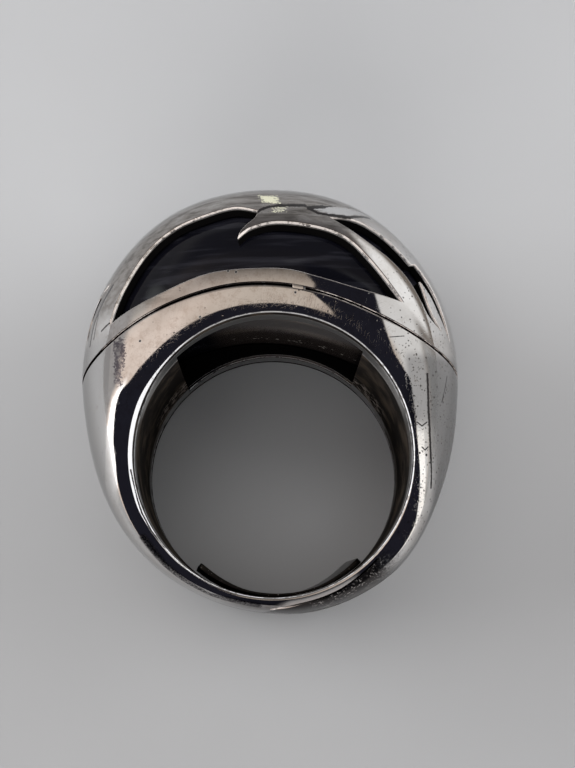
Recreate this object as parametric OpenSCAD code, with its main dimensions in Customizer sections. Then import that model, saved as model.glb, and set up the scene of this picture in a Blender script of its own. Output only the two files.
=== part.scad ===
// Dome ring with an openwork cover over a black stone, lying on its side.
// It is modelled upright first: the finger hole's axis is Y, the dome is towards +Z and the side seen
// from the front is towards -Y. The last step lays it down on its far side faces, with +Z up.

/* [Finger hole] */
// Diameter of the finger hole
hole_d = 19; // [16:0.5:21]
// Rounding of the hole's edges
lip_r = 0.25; // [0.2:0.05:0.5]

/* [Outer form] */
// Half the ring's width beside the middle of the hole
mid_half_w = 7.7; // [7:0.1:8.5]
// Growth of the half width for each millimetre towards the dome
taper = 0.17; // [0.1:0.01:0.2]
// Fullness of the sides across the width
width_power = 2.3; // [2:0.1:3]
// Fullness of the sides outwards from the hole
wall_power = 2.2; // [2:0.1:3]
// What is added to that fullness in the ring's lower half, where the side faces are flat
low_power = 3; // [0:0.1:4]
// Sections round the hole: angle from the top of the dome, wall from the hole to the outside
sections = [
    [0, 10.8], [20, 10.4], [40, 8.6], [60, 6.2], [75, 4.45],
    [90, 3.3], [110, 2.3], [130, 1.6], [150, 1.15], [180, 1.05]
];

/* [Lap at the lower right] */
// Height of the lap above the band at its thickest
lap_rise = 0.55; // [0.2:0.05:0.8]
// Angles of the lap's tip, crest and end, from the top of the dome round the right-hand side
lap_angles = [188, 135, 98]; // [90:1:195]
// Radius of the step line between the lap and the band
lap_line_r = 10.15; // [10:0.05:10.3]
// Width and depth of that line
lap_line = [0.14, 0.5]; // [0.1:0.02:0.6]
// Angles of that line's two ends, from the right-hand side round to the bottom and past it
lap_line_ends = [-92.6, -49.2]; // [-98:0.2:-40]

/* [Seam and stone seat] */
// Line of the seam seen along the hole: distance across, height above the hole's axis
seam_line = [
    [-15, 4.2], [-13, 6.5], [-8.5, 9.5], [-4, 11.1], [0, 11.4],
    [4, 10.6], [8.5, 8.6], [13, 5.9], [15, 4.4]
];
// Gap left between the shank and the cover along the seam
seam_gap = 0.14; // [0.1:0.01:0.2]
// Depth of the stone's ledge below the seam
ledge_drop = 0.8; // [0.5:0.1:1.2]
// Thickness of the cover
cover_t = 0.6; // [0.4:0.1:1.4]
// Clearance round the stone
stone_gap = 0.12; // [0.1:0.01:0.2]
// Window behind the stone: size across, size along the hole, corner radius
window = [16.6, 14.4, 1.2]; // [2:0.1:17]

/* [Openings] */
// Height of the point that the openings are cut outwards from
eye_z = 6; // [5:0.5:7]
// Every edge below is a row of [bearing, rise] in degrees seen from that point
// Long crescent: left and upper edge, then the hook's upper edge, its under edge and the lower edge
crescent_edges = [
    [[-146, 14.5], [-143.5, 25.5], [-138.5, 38], [-131, 46], [-120, 51.3], [-106, 55.3], [-93.5, 53.5]],
    [[-93.5, 53.5], [-95.3, 50.8], [-98.6, 48.4], [-101.3, 45.8], [-102.2, 43.6]],
    [[-102.2, 43.6], [-96.5, 47], [-85, 48.8], [-70, 46.5], [-58, 41.5], [-50.5, 32.5], [-42.5, 18.5]],
    [
        [-42.5, 18.5], [-52.5, 23], [-70, 30.5], [-84, 34.3],
        [-101.5, 34.2], [-116, 31], [-131.5, 23], [-146, 14.5]
    ]
];
// Right opening: lower edge, both sides of the tongue, outer edge, blunt end and upper edge
right_edges = [
    [[-60, 49], [-54, 44], [-47, 37.2], [-42.2, 32.4], [-38, 26.3], [-35.4, 19.5], [-33.2, 14], [-28.3, 10]],
    [[-28.3, 10], [-31.2, 14.5], [-32.2, 20], [-31.8, 25.5]],
    [[-31.8, 25.5], [-29, 21], [-27, 15.5], [-22.8, 7.5]],
    [[-22.8, 7.5], [-23.2, 17], [-25.8, 26], [-28.6, 31.8]],
    [[-28.6, 31.8], [-32.7, 31.1]],
    [[-32.7, 31.1], [-35.6, 36], [-39, 40.4], [-42.8, 44], [-47.2, 46.8], [-53, 48.6], [-60, 49]]
];
// Left slot: the edge towards the front, then the edge towards the back
left_edges = [
    [[-154, 29], [-158, 23], [-160.5, 17], [-160.5, 9.5]],
    [[-160.5, 9.5], [-166, 14], [-167, 20], [-162.5, 26], [-154, 29]]
];

/* [Sizing strip] */
// Outer radius, thickness and width of the strip
strip = [8.6, 0.4, 7]; // [0.3:0.05:9]
// Angles of its two ends, from the bottom of the hole towards the left and towards the right
strip_ends = [42, 42]; // [25:1:50]
// Turn of the strip about the dome's axis, and its offset towards the front
strip_skew = 4; // [0:1:6]
strip_forward = 0; // [0:0.1:1.5]
// Gap between the strip and the bottom of the hole
strip_gap = 0.08; // [0.05:0.01:0.2]

/* [Hidden] */
hole_r = hole_d / 2;
core_r = hole_r - 1.2;
outer_steps = 60;
inner_steps = 36;
arc_steps = 5;
big = 60;
rest_angle = atan(taper);
silver = [0.78, 0.77, 0.74];
dull_silver = [0.55, 0.53, 0.5];
onyx = [0.04, 0.04, 0.05];

// A smooth curve through the rows of a table: one stretch, then all of them
function blend(a, b, c, d, t) =
    b + 0.5 * t * (c - a + t * (2 * a - 5 * b + 4 * c - d + t * (3 * (b - c) + d - a)));
function smooth(p, steps) = [
    for (i = [0 : len(p) - 2], k = [0 : steps - 1])
        blend(p[max(i - 1, 0)], p[i], p[i + 1], p[min(i + 2, len(p) - 1)], k / steps)
];

// Wall of the form at an angle from the dome's top, between 0 and 360
function slope_at(i) =
    i == 0 || i == len(sections) - 1 ? 0
    : (sections[i + 1][1] - sections[i - 1][1]) / (sections[i + 1][0] - sections[i - 1][0]);
function band_wall(a, i = 0) =
    a > 180 ? band_wall(360 - a)
    : a > sections[i + 1][0] && i < len(sections) - 2 ? band_wall(a, i + 1)
    : let (
        span = sections[i + 1][0] - sections[i][0],
        t = (a - sections[i][0]) / span,
        rise = sections[i + 1][1] - sections[i][1]
    ) sections[i][1] + rise * t * t * (3 - 2 * t)
        + span * t * (1 - t) * (slope_at(i) * (1 - t) - slope_at(i + 1) * t);
// Swell of the lap on the right-hand side, from 0 at its ends to 1 at its crest
function lap_swell(a) =
    a >= lap_angles[0] || a <= lap_angles[2] ? 0
    : a > lap_angles[1] ? pow(sin(90 * (lap_angles[0] - a) / (lap_angles[0] - lap_angles[1])), 1.3)
    : pow(sin(90 * (a - lap_angles[2]) / (lap_angles[1] - lap_angles[2])), 2);

// Fullness of the sides outwards at an angle: it grows between 85 and 135 degrees from the dome's top
function power_at(a) =
    let (t = min(max((180 - abs(180 - a) - 85) / 50, 0), 1)) wall_power + low_power * t * t * (3 - 2 * t);
// Half the width at a distance from the hole's axis, for a wall and a section angle
function half_w(r, a, wall, inset) =
    let (
        t = min(max((r - hole_r) / wall, 0), 1),
        in = max(hole_r + lip_r - r, 0),
        drop = in >= lip_r ? in : lip_r - sqrt(lip_r * lip_r - in * in)
    ) (mid_half_w - inset + taper * r * cos(a)) * pow(1 - pow(t, power_at(a)), 1 / width_power) - drop;
// Radii at which one half of a section is sampled, from inside the hole's edge to the outside
function section_radii(a, wall) =
    let (start = asin(pow(min(lip_r / wall, 0.9), power_at(a) / 2))) [
        core_r,
        for (q = [40, 65, 90]) hole_r + lip_r * (1 - cos(q)),
        for (k = [1 : arc_steps])
            hole_r + wall * pow(sin(start + (90 - start) * k / (arc_steps + 1)), 2 / power_at(a))
    ];
function section(a, inset) =
    let (
        wall = max(band_wall(a) - inset, 0.5) + lap_rise * lap_swell(a),
        radii = section_radii(a, wall),
        last = len(radii) - 1,
        front = [for (r = radii) [r, -half_w(r, a, wall, inset)]],
        back = [for (i = [last : -1 : 0]) [radii[i], -front[i][1]]]
    ) [for (q = concat(front, [[hole_r + wall, 0]], back)) [q[0] * sin(a), q[1], q[0] * cos(a)]];
function form_rings(inset, steps) = [for (i = [0 : steps - 1]) section(i * 360 / steps, inset)];

// The full outer form as a closed ring, made smaller all over by the inset
module form(inset = 0) {
    steps = inset > 0 ? inner_steps : outer_steps;
    rings = form_rings(inset, steps);
    count = len(rings[0]);
    points = [for (ring = rings) each ring];
    faces = [
        for (i = [0 : steps - 1], j = [0 : count - 1])
            let (
                a = i * count,
                b = (i + 1) % steps * count,
                k = (j + 1) % count
            ) each [[a + j, a + k, b + k], [a + j, b + k, b + j]]
    ];
    polyhedron(points = points, faces = faces, convexity = 6);
}

// The space above the seam line, moved up by a lift
module above_seam(lift = 0) {
    line = concat(smooth(seam_line, 4), [seam_line[len(seam_line) - 1]]);
    translate([0, 0, lift])
        rotate([90, 0, 0])
            linear_extrude(height = big, center = true)
                polygon(concat(line, [[big, line[0][1]], [big, big], [-big, big], [-big, line[0][1]]]));
}

// Direction of a bearing and a rise, and its place on a plane across the axis of a cut
function direction(q) = [cos(q[1]) * cos(q[0]), cos(q[1]) * sin(q[0]), sin(q[1])];
function on_plane(q, axis) =
    let (
        d = direction(q),
        side = [-sin(axis[0]), cos(axis[0]), 0],
        rising = [-sin(axis[1]) * cos(axis[0]), -sin(axis[1]) * sin(axis[0]), cos(axis[1])]
    ) [-d * rising, d * side] / (d * direction(axis));

// An opening cut outwards from the eye point along the axis [bearing, rise]
module opening(edges, axis, steps = 3) {
    near = 1.5;
    far = 30;
    outline = [for (edge = edges) for (q = smooth(edge, len(edge) > 2 ? steps : 1)) on_plane(q, axis) * near];
    translate([0, 0, eye_z])
        rotate([0, 90 - axis[1], axis[0]])
            translate([0, 0, near])
                linear_extrude(height = far - near, scale = far / near)
                    polygon(outline);
}

module pattern() {
    opening(crescent_edges, [-96, 36]);
    opening(right_edges, [-40, 30]);
    opening(left_edges, [-162, 19]);
}

// Straight window from the hole up to the back of the stone
module window_cut() {
    linear_extrude(height = big)
        offset(r = window[2], $fn = 24)
            square([window[0] - 2 * window[2], window[1] - 2 * window[2]], center = true);
}

// Thin arc line cut into a side face along the lap
module lap_groove() {
    reach = half_w(lap_line_r, lap_angles[0], band_wall(lap_angles[0]), 0);
    for (face = [0, 1])
        mirror([0, face, 0])
            translate([0, -reach + lap_line[1], 0])
                rotate([90, 0, 0])
                    rotate([0, 0, lap_line_ends[0]])
                        rotate_extrude(angle = lap_line_ends[1] - lap_line_ends[0], $fn = 96)
                            translate([lap_line_r, 0])
                                square([lap_line[0], 3]);
}

// From the upright pose to the one it lies in, centred over the floor
edge_points = [for (ring = form_rings(0, outer_steps)) each ring];
across = [for (p = edge_points) p[2] * cos(rest_angle) + p[1] * sin(rest_angle)];
rest_shift = -(max(across) + min(across)) / 2;
rest_height = mid_half_w * cos(rest_angle);
module lay_down() {
    translate([0, rest_shift, rest_height])
        rotate([rest_angle - 90, 0, 0])
            children();
}

module shank() {
    color(silver)
        lay_down()
            difference() {
                form();
                above_seam();
                rotate([90, 0, 0])
                    cylinder(r = hole_r, h = big, center = true, $fn = 180);
                intersection() {
                    form(cover_t);
                    above_seam(-ledge_drop);
                }
                window_cut();
                lap_groove();
            }
}

module cover() {
    color(silver)
        lay_down()
            difference() {
                intersection() {
                    form();
                    above_seam(seam_gap);
                }
                form(cover_t);
                pattern();
                rotate([0, 0, 180])
                    pattern();
            }
}

module stone() {
    color(onyx)
        lay_down()
            intersection() {
                form(cover_t + stone_gap);
                above_seam(stone_gap - ledge_drop);
            }
}

module sizing_strip() {
    span = strip_ends[0] + strip_ends[1];
    color(dull_silver)
        lay_down()
            translate([0, -strip_forward, strip[0] + strip_gap - hole_r])
                rotate([90, 0, strip_skew])
                    rotate([0, 0, 270 - strip_ends[0]])
                        translate([0, 0, -strip[2] / 2])
                            rotate_extrude(angle = span, $fn = 180)
                                translate([strip[0] - strip[1], 0])
                                    square([strip[1], strip[2]]);
}

shank();
cover();
stone();
sizing_strip();
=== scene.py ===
# %% [markdown]
# # A silver dome ring over black stone
# The ring is a wide silver shank that grows into a tall dome. The dome is a pierced silver cover over a
# black stone, and a thin dull strip in the bottom of the finger hole makes the hole smaller.
# The solids come first: the imported model gives the sizes.

# %% Load the frame
import bpy, bmesh, math
import numpy as np
from mathutils import Matrix, Vector


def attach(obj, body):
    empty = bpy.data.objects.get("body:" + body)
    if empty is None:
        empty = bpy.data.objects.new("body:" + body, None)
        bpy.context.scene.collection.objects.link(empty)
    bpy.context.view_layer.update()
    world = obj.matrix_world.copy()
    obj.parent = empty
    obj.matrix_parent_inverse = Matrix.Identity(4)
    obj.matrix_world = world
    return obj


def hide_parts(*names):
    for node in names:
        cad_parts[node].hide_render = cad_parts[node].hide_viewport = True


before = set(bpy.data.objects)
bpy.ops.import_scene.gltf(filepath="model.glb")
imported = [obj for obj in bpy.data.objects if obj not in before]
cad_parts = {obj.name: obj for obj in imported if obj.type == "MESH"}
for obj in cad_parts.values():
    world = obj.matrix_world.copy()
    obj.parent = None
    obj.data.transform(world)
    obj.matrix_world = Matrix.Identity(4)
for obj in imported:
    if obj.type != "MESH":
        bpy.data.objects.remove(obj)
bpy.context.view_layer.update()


# %% [markdown]
# ## The form that every piece shares
# Shank, cover and stone are all cut from one form: sections set round the finger hole, thin at the
# bottom and tall at the dome. A smooth metal shows every flat, so the pieces are made here from the
# form's own formula instead of the solids' facets. The ring is worked upright and in millimetres, as
# on a bench: Y runs along the finger hole, Z points to the dome. It is laid on its side at the end.

# %% Sizes of the form
HOLE_R, LIP_R = 9.5, 0.25
MID_HALF_W, TAPER = 7.7, 0.17
WIDTH_POWER, WALL_POWER, LOW_POWER = 2.3, 2.2, 3.0
LAP_SWELL = 0.55
SECTIONS = np.array([[0, 10.8], [20, 10.4], [40, 8.6], [60, 6.2], [75, 4.45],
                     [90, 3.3], [110, 2.3], [130, 1.6], [150, 1.15], [180, 1.05]])
SEAM_LINE = [[-15, 4.2], [-13, 6.5], [-8.5, 9.5], [-4, 11.1], [0, 11.4], [4, 10.6], [8.5, 8.6], [13, 5.9], [15, 4.4]]
EYE = np.array([0, 0, 6.0])


def easing(t):
    """0 to 1 with a soft start and a soft end."""
    return t * t * (3 - 2 * t)


def sin_cos(degrees):
    return np.sin(np.radians(degrees)), np.cos(np.radians(degrees))


def smooth_line(rows, steps):
    """A smooth curve through the rows, without the last row."""
    p = np.array([rows[0], *rows, rows[-1]], float)
    a, b, c, d = (p[k:len(p) - 3 + k, None, :] for k in range(4))
    t = (np.arange(steps) / steps)[None, :, None]
    return (b + 0.5 * t * (c - a + t * (2 * a - 5 * b + 4 * c - d + t * (3 * (b - c) + d - a)))).reshape(-1, 2)


SEAM = np.vstack([smooth_line(SEAM_LINE, 12), SEAM_LINE[-1:]])
SLOPES = np.zeros(len(SECTIONS))
SLOPES[1:-1] = (SECTIONS[2:, 1] - SECTIONS[:-2, 1]) / (SECTIONS[2:, 0] - SECTIONS[:-2, 0])


def seam_height(x):
    """How high the seam runs above the hole's axis, from left to right."""
    return np.interp(x, SEAM[:, 0], SEAM[:, 1])


def wall_at(a, inset=0.0):
    """Thickness from the hole to the outside at an angle from the dome's top, with the lap's swell."""
    full = np.mod(a, 360)
    half = np.minimum(full, 360 - full)
    i = np.clip(np.searchsorted(SECTIONS[:, 0], half, side="right") - 1, 0, len(SECTIONS) - 2)
    span, rise = SECTIONS[i + 1, 0] - SECTIONS[i, 0], SECTIONS[i + 1, 1] - SECTIONS[i, 1]
    t = (half - SECTIONS[i, 0]) / span
    wall = SECTIONS[i, 1] + rise * easing(t) + span * t * (1 - t) * (SLOPES[i] * (1 - t) - SLOPES[i + 1] * t)
    above = np.sin(np.radians(90 * np.clip((188 - full) / 53, 0, 1))) ** 1.3
    below = np.sin(np.radians(90 * np.clip((full - 98) / 37, 0, 1))) ** 2
    return np.maximum(wall - inset, 0.5) + LAP_SWELL * np.where(full > 135, above, below)


def power_at(a):
    """How full the sides are: round beside the dome, flat with a short round edge in the lower half."""
    t = np.clip((180 - np.abs(180 - np.mod(a, 360)) - 85) / 50, 0, 1)
    return WALL_POWER + LOW_POWER * easing(t)


def half_width(r, a, inset=0.0):
    """Half the width along the finger, at a distance and an angle round the hole's axis."""
    t = np.clip((r - HOLE_R) / wall_at(a, inset), 0, 1)
    return (MID_HALF_W - inset + TAPER * r * np.cos(np.radians(a))) * (1 - t ** power_at(a)) ** (1 / WIDTH_POWER)


def level(p, inset=0.0):
    """Below 0 inside the form, 0 on its surface, above 0 outside."""
    x, y, z = p[..., 0], p[..., 1], p[..., 2]
    a = np.degrees(np.arctan2(x, z))
    t = np.maximum(np.hypot(x, z) - HOLE_R, 0) / wall_at(a, inset)
    return t ** power_at(a) + (np.abs(y) / (MID_HALF_W - inset + TAPER * z)) ** WIDTH_POWER - 1


def slope(p, inset=0.0):
    """The form's outward direction at each point."""
    step = np.eye(3) * 1e-3
    g = np.stack([level(p + s, inset) - level(p - s, inset) for s in step], -1)
    return g / np.maximum(np.linalg.norm(g, axis=-1, keepdims=True), 1e-9)


def on_section(a, r, y):
    """Points of the upright ring by angle from the dome's top, distance from the hole's axis, and Y."""
    s, c = sin_cos(a)
    return np.column_stack([r * s, y, r * c])


def crossing(inside, outside, value, turns=44):
    """The place between two sets of numbers or points where a value passes 0."""
    for _ in range(turns):
        middle = (inside + outside) / 2
        low = value(middle) < 0
        low = low[..., None] if middle.ndim > low.ndim else low
        inside, outside = np.where(low, middle, inside), np.where(low, outside, middle)
    return (inside + outside) / 2


print("dome", round(HOLE_R + float(wall_at(0)), 2), "mm above the hole's axis, bottom",
      round(HOLE_R + float(wall_at(180)), 2), "mm below it")

# %% [markdown]
# ## The bench
# A few tools used by every piece. Each piece starts as a primitive, is worked in edit mode, and is
# then laid down: one turn about X and a scale from millimetres to metres, kept in the mesh itself.

# %% Tools of the bench
REST_ANGLE = math.atan(TAPER)
REST_HEIGHT = MID_HALF_W * math.cos(REST_ANGLE)
REST_SHIFT = -4.57464    # mm from the box's middle to the hole's, away from the dome
LAY_DOWN = (Matrix.Scale(0.001, 4) @ Matrix.Translation((0, REST_SHIFT, REST_HEIGHT))
            @ Matrix.Rotation(REST_ANGLE - math.pi / 2, 4, "X"))


def leave_edit():
    bpy.ops.object.mode_set(mode="OBJECT")


def deselect():
    if bpy.context.mode != "OBJECT":
        leave_edit()
    bpy.ops.object.select_all(action="DESELECT")


def pick(piece):
    deselect()
    piece.select_set(True)
    bpy.context.view_layer.objects.active = piece


def numbers(things, key, width=1, kind=np.float32):
    """One property of all vertices, edges, faces or corners, a row for each."""
    values = np.empty(len(things) * width, kind)
    things.foreach_get(key, values)
    return values.reshape(-1, width) if width > 1 else values


def points_of(piece):
    return numbers(piece.data.vertices, "co", 3).astype(float)


def edge_ends(piece):
    return numbers(piece.data.edges, "vertices", 2, np.int32)


def set_points(piece, points):
    piece.data.vertices.foreach_set("co", np.asarray(points, np.float32).ravel())
    piece.data.update()


def select_edges(piece, chosen):
    """Selects the edges given by number or by a row of True and False, and goes to edit mode."""
    pick(piece)
    bpy.ops.object.mode_set(mode="EDIT")
    bpy.ops.mesh.select_all(action="DESELECT")
    bpy.ops.mesh.select_mode(type="EDGE")
    leave_edit()
    flags = np.zeros(len(piece.data.edges), bool)
    flags[chosen] = True
    piece.data.edges.foreach_set("select", flags)
    bpy.ops.object.mode_set(mode="EDIT")


def start_piece(name, primitive, **settings):
    """A new piece from one of Blender's primitives."""
    deselect()
    primitive(**settings)
    piece = bpy.context.object
    piece.name = name
    return piece


def add_block(name, place, size):
    """A box with its place and size kept in its mesh."""
    block = start_piece(name, bpy.ops.mesh.primitive_cube_add, size=1, location=place, scale=size)
    bpy.ops.object.transform_apply(location=True, rotation=True, scale=True)
    return block


def round_upright_edges(block, radius, segments):
    """Bevels the edges that run along Z."""
    corner, ends = points_of(block), edge_ends(block)
    select_edges(block, np.all(corner[ends[:, 0], :2] == corner[ends[:, 1], :2], axis=1))
    bpy.ops.mesh.bevel(offset=radius, segments=segments)
    leave_edit()


def divide_at(places):
    """Cuts the piece that is in edit mode across X, so that it can bend, and leaves edit mode."""
    for place in places:
        bpy.ops.mesh.select_all(action="SELECT")
        bpy.ops.mesh.bisect(plane_co=(place, 0, 0), plane_no=(1, 0, 0), threshold=1e-5)
    leave_edit()


def edit_all(piece):
    pick(piece)
    bpy.ops.object.mode_set(mode="EDIT")
    bpy.ops.mesh.select_all(action="SELECT")


def face_out(piece, merge=1e-4):
    edit_all(piece)
    bpy.ops.mesh.remove_doubles(threshold=merge)
    bpy.ops.mesh.normals_make_consistent(inside=False)
    leave_edit()


def cut_away(piece, cutter):
    """A boolean difference, applied, after which the cutter is thrown away."""
    pick(piece)
    cut = piece.modifiers.new("cut", "BOOLEAN")
    cut.object, cut.operation, cut.solver = cutter, "DIFFERENCE", "EXACT"
    bpy.ops.object.modifier_apply(modifier="cut")
    bpy.data.objects.remove(cutter)


def tell(piece):
    p = points_of(piece)
    print(piece.name, len(piece.data.polygons), "faces, from", p.min(0).round(2), "to", p.max(0).round(2))


print("laid down by", round(90 - math.degrees(REST_ANGLE), 2), "degrees, with the hole's middle",
      round(REST_HEIGHT, 2), "mm above the floor")

# %% [markdown]
# ## Sheets
# A goldsmith saws a pattern in flat sheet and domes it afterwards. The same order works here. An
# outline is laid flat with narrow rows of faces beside it, which become its eased edge, and the rest is
# filled. Straight cuts then divide the fill finely enough to bend, and a formula bends the sheet on the
# form. Cutting the openings in a finished dome would leave slivers at every edge, which polished
# metal shows.

# %% Rows beside an outline
def evenly(line, step):
    """Points at even steps along an open line, without its last point."""
    run = np.concatenate([[0], np.cumsum(np.linalg.norm(np.diff(line, axis=0), axis=1))])
    at = np.linspace(0, run[-1], max(int(round(run[-1] / step)), 1) + 1)[:-1]
    return np.column_stack([np.interp(at, run, line[:, k]) for k in (0, 1)])


def area_of(loop):
    x, y = loop.T
    return 0.5 * np.sum(x * np.roll(y, -1) - np.roll(x, -1) * y)


def row_beside(loop, distance):
    """The closed line moved sideways to its left. In a narrow tip, where there is no room, the points gather."""
    if not distance:
        return loop
    before, after = loop - np.roll(loop, 1, 0), np.roll(loop, -1, 0) - loop
    before, after = (v / np.linalg.norm(v, axis=1)[:, None] for v in (before, after))
    left = np.column_stack([-(before + after)[:, 1], (before + after)[:, 0]])
    left /= np.maximum(np.linalg.norm(left, axis=1)[:, None], 1e-9)
    reach = 1 / np.maximum(np.sum(left * np.column_stack([-after[:, 1], after[:, 0]]), 1), 0.12)
    inner = (before[:, 0] * after[:, 1] - before[:, 1] * after[:, 0]) * distance > 0
    moved = loop + left * (distance * np.where(inner, reach, np.minimum(reach, 1.5)))[:, None]
    a, b = loop, np.roll(loop, -1, 0)
    along = np.clip(np.sum((moved[:, None] - a) * (b - a), 2) / np.sum((b - a) ** 2, 1), 0, 1)
    gap = np.linalg.norm(moved[:, None] - (a + along[..., None] * (b - a)), axis=2).min(1)
    good = np.flatnonzero(gap > 0.97 * abs(distance))
    n = len(loop)
    spread = np.arange(n)
    return np.column_stack([np.interp(spread, good, moved[good, k], period=n) for k in (0, 1)])


# %% Flat sheets with cut rows
def at_height(line, z=0.0):
    """The points of a flat line with a third number."""
    return np.column_stack([line, np.full(len(line), z)])


def rows_mesh(name, strips):
    """A mesh of closed rows of points: each strip is a list of rows, joined by faces."""
    points, faces, starts = [], [], []
    for rows in strips:
        starts.append([])
        for row in rows:
            starts[-1].append(len(points))
            points += [tuple(p) for p in row]
        n = len(rows[0])
        for lower, upper in zip(starts[-1], starts[-1][1:]):
            faces += [(lower + k, lower + (k + 1) % n, upper + (k + 1) % n, upper + k) for k in range(n)]
    mesh = bpy.data.meshes.new(name)
    mesh.from_pydata(points, [(s[0] + k, s[0] + (k + 1) % len(rows[0])) for s, rows in zip(starts, strips)
                              if len(rows) == 1 for k in range(len(rows[0]))], faces)
    sheet = bpy.data.objects.new(name, mesh)
    bpy.context.collection.objects.link(sheet)
    return sheet, starts


def fill_between(sheet, loops, lines_x, lines_y):
    """Fills the flat field bounded by the loops, given as (first point, count), and divides it along lines."""
    chosen, ends = [], edge_ends(sheet)
    for first, count in loops:
        place = ends - first
        held = np.all((place >= 0) & (place < count), axis=1)
        apart = np.abs(place[:, 0] - place[:, 1])
        chosen += list(np.flatnonzero(held & ((apart == 1) | (apart == count - 1))))
    select_edges(sheet, chosen)
    bpy.ops.mesh.fill(use_beauty=True)
    leave_edit()
    work = bmesh.new()
    work.from_mesh(sheet.data)
    field = [f for f in work.faces if f.select]
    print("   ", sheet.name, "filled with", len(field), "faces", end="")
    field = cut_along(work, field, 1, sorted(lines_y))
    field = cut_along(work, field, 0, sorted(lines_x))
    print(", cut into", len(field))
    work.to_mesh(sheet.data)
    work.free()


def cut_along(work, field, axis, lines):
    """Divides the faces along lines across an axis: the middle line first, then each half by itself."""
    if not lines or not field:
        return field
    place, normal = lines[len(lines) // 2], [(1, 0, 0), (0, 1, 0)][axis]
    low, high, held = [], [], []
    for f in field:
        across = [v.co[axis] for v in f.verts]
        (low if max(across) <= place + 1e-5 else high if min(across) >= place - 1e-5 else held).append(f)
    if held:
        parts = list({e for f in held for e in f.edges}) + list({v for f in held for v in f.verts}) + held
        done = bmesh.ops.bisect_plane(work, geom=parts, plane_co=[place * n for n in normal], plane_no=normal,
                                      dist=1e-5)
        for f in done["geom"]:
            if isinstance(f, bmesh.types.BMFace):
                (low if f.calc_center_median()[axis] < place else high).append(f)
    return (cut_along(work, low, axis, lines[:len(lines) // 2])
            + cut_along(work, high, axis, lines[len(lines) // 2 + 1:]))


# %% [markdown]
# ## The shank
# One piece of silver from the bottom of the band to the seat of the dome. Its skin is laid out flat as
# if the ring were slit inside the hole and unrolled: along the sheet runs the angle round the hole,
# across it runs one section from the middle of the bore over a lip to the outside and back. The seam's
# line is drawn in the sheet, so its edge can be eased before the sheet is rolled up.

# %% Where the seam passes
ARC = 0.2                            # mm of flat sheet for each degree round the hole
SIDE, LIP, BORE = 12.0, 1.5, 4.0     # flat widths that become half the outside, one lip and half the bore
SEAM_STEP = 0.3                      # mm between the points of the seam's line


def lip_angle(a):
    """Where the lip's rounding ends, as an angle of the section's curve."""
    return np.degrees(np.arcsin(np.minimum(LIP_R / wall_at(a), 0.9) ** (power_at(a) / 2)))


def seam_radius(a, drop=0.0):
    """Distance from the hole's axis to the seam at an angle from the dome's top."""
    s, c = sin_cos(a)
    return crossing(np.full(np.shape(a), 9.0), np.full(np.shape(a), 45.0),
                    lambda r: r * c - seam_height(r * s) + drop)


def seam_end(sign, drop=0.0, inset=0.0):
    """The angle at which the seam crosses the ring's outermost line, on the right or the left."""
    return sign * float(crossing(np.array(20.0), np.array(85.0),
                                 lambda a: seam_radius(sign * a, drop) - HOLE_R - wall_at(sign * a, inset)))


def seam_across(a):
    """Half the flat width of the seat at an angle: beyond it lies the outside of the shank."""
    t = np.clip((seam_radius(a) - HOLE_R) / wall_at(a), 0, 1)
    q, start = np.degrees(np.arcsin(t ** (power_at(a) / 2))), lip_angle(a)
    return (90 - q) / (90 - start) * SIDE


END_RIGHT, END_LEFT = seam_end(1), seam_end(-1)
turn = np.radians(np.arange(720) / 2)
loop_a = (END_RIGHT + END_LEFT) / 2 + (END_RIGHT - END_LEFT) / 2 * np.cos(turn)
seam_flat = np.column_stack([loop_a * ARC, np.where(np.sin(turn) < 0, -1, 1) * seam_across(loop_a)])
seam_flat[[0, 360], 1] = 0
seam_flat = evenly(np.vstack([seam_flat, seam_flat[:1]]), SEAM_STEP)
print("the seam meets the outermost line at", round(END_RIGHT, 1), "and", round(END_LEFT, 1), "degrees,",
      len(seam_flat), "points")

# %% Roll the sheet up
def roll_up(flat):
    """Places of flat points on the upright ring."""
    a, across = flat[:, 0] / ARC, np.abs(flat[:, 1])
    start = lip_angle(a)
    q = np.radians(start + (90 - start) * np.clip(1 - across / SIDE, 0, 1))
    r = HOLE_R + wall_at(a) * np.sin(q) ** (2 / power_at(a))
    y = half_width(r, a)
    round_lip = np.radians(90 * np.clip(1 - (across - SIDE) / LIP, 0, 1))
    r = np.where(across > SIDE, HOLE_R + LIP_R * (1 - np.cos(round_lip)), r)
    y = np.where(across > SIDE, half_width(r, a) - LIP_R * (1 - np.sin(round_lip)), y)
    y = np.where(across > SIDE + LIP, y * (SIDE + LIP + BORE - across) / BORE, y)
    seat = (a > END_LEFT) & (a < END_RIGHT)
    held = np.where(seat, seam_across(np.where(seat, a, 0)), 0)
    top = np.where(seat, seam_radius(np.where(seat, a, 0)), r)
    on_seat = seat & (across < held)
    r = np.where(on_seat, top, r)
    y = np.where(on_seat, half_width(top, a) * across / np.maximum(held, 1e-6), y)
    return on_section(a, r, np.sign(flat[:, 1]) * y)


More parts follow.
